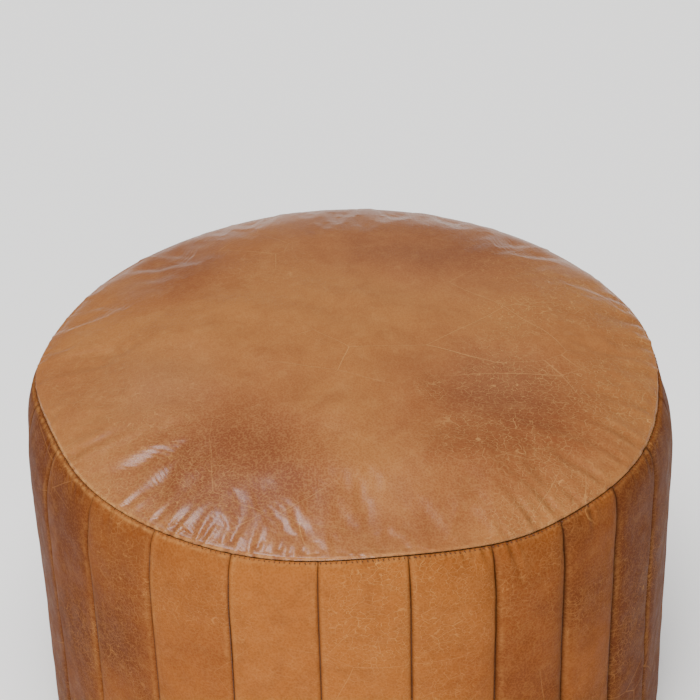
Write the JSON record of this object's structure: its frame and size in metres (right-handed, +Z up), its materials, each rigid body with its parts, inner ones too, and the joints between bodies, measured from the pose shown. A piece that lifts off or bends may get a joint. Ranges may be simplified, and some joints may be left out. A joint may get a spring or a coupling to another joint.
{
  "type": "leather pouf",
  "caption": "Round drum-shaped leather footstool with a domed top sewn to a side of upright leather panels over a foam-padded plywood frame.",
  "frame": {"origin": "middle of the floor plane under the pouf, at the height of the glides' bottom faces", "axes": "+Z up along the drum's axis; -Y is the front"},
  "size_m": [0.5, 0.5, 0.35],
  "materials": {
    "crown_leather": "waxed pull-up, satin",
    "panel_leather": "waxed pull-up, satin",
    "seam_thread": "waxed thread",
    "wadding": "soft fibre",
    "foam": "open-cell polyurethane foam",
    "plywood": "bare",
    "bent_plywood": "bare",
    "softwood": "sawn",
    "zinc_steel": "zinc plated",
    "staple_wire": "galvanised",
    "dust_cloth": "matte non-woven",
    "glide_plastic": "matte"
  },
  "bodies": {
    "root": {"crown_leather": "crown_leather", "side_panel_01": "panel_leather", "side_panel_02": "panel_leather", "side_panel_03": "panel_leather", "side_panel_04": "panel_leather", "side_panel_05": "panel_leather", "side_panel_06": "panel_leather", "side_panel_07": "panel_leather", "side_panel_08": "panel_leather", "side_panel_09": "panel_leather", "side_panel_10": "panel_leather", "side_panel_11": "panel_leather", "side_panel_12": "panel_leather", "side_panel_13": "panel_leather", "side_panel_14": "panel_leather", "side_panel_15": "panel_leather", "side_panel_16": "panel_leather", "side_panel_17": "panel_leather", "side_panel_18": "panel_leather", "side_panel_19": "panel_leather", "side_panel_20": "panel_leather", "side_panel_21": "panel_leather", "side_panel_22": "panel_leather", "side_panel_23": "panel_leather", "side_panel_24": "panel_leather", "crown_seam_thread": "seam_thread", "panel_seam_threads": "seam_thread", "seat_wadding": "wadding", "seat_foam": "foam", "side_foam": "foam", "seat_board": "plywood", "base_board": "plywood", "drum_wall": "bent_plywood", "upright_1": "softwood", "upright_2": "softwood", "upright_3": "softwood", "upright_4": "softwood", "upright_5": "softwood", "upright_6": "softwood", "upright_7": "softwood", "upright_8": "softwood", "seat_board_screws": "zinc_steel", "base_board_screws": "zinc_steel", "drum_wall_staples": "staple_wire", "hem_staples": "staple_wire", "dust_cover": "dust_cloth", "dust_cover_staples": "staple_wire", "glide_1": "glide_plastic", "glide_2": "glide_plastic", "glide_3": "glide_plastic", "glide_4": "glide_plastic", "glide_nails": "zinc_steel"}
  },
  "joints": []
}
